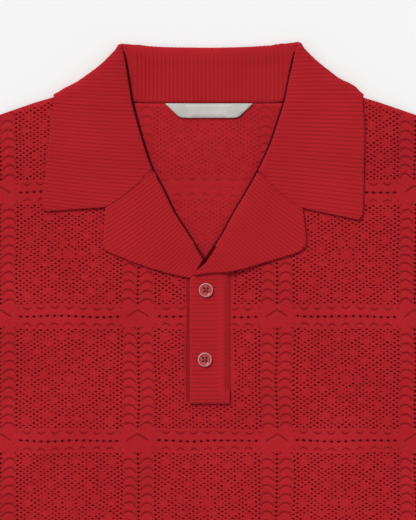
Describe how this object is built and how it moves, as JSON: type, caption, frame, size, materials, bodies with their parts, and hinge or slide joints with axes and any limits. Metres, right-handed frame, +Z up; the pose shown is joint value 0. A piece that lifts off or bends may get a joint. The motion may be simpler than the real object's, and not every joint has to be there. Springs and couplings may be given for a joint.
{
  "type": "knitted polo shirt",
  "caption": "Short-sleeved polo shirt in openwork knit with a ribbed open collar, turned-back lapels and a buttoned placket, laid flat on its back.",
  "frame": {"origin": "middle of the laid shirt's bounding box, on the flat underside of the back", "axes": "+X across the shirt to the viewer's right, +Y from the hem to the collar, +Z up, out of the front"},
  "size_m": [0.8568, 0.7024, 0.0105],
  "materials": {
    "openwork_knit": "matt openwork knit of a soft red yarn",
    "rib_knit": "matt rib knit of a soft red yarn",
    "button_resin": "translucent pale pink resin, polished",
    "label_satin": "grey-white satin, blank"
  },
  "bodies": {
    "root": {"front": "openwork_knit", "back": "openwork_knit", "sleeve_left": "openwork_knit", "sleeve_right": "openwork_knit", "collar": "rib_knit", "lapel_left": "rib_knit", "lapel_right": "rib_knit", "placket_upper": "rib_knit", "placket_under": "rib_knit", "button_upper": "button_resin", "button_lower": "button_resin", "label": "label_satin"}
  },
  "joints": []
}
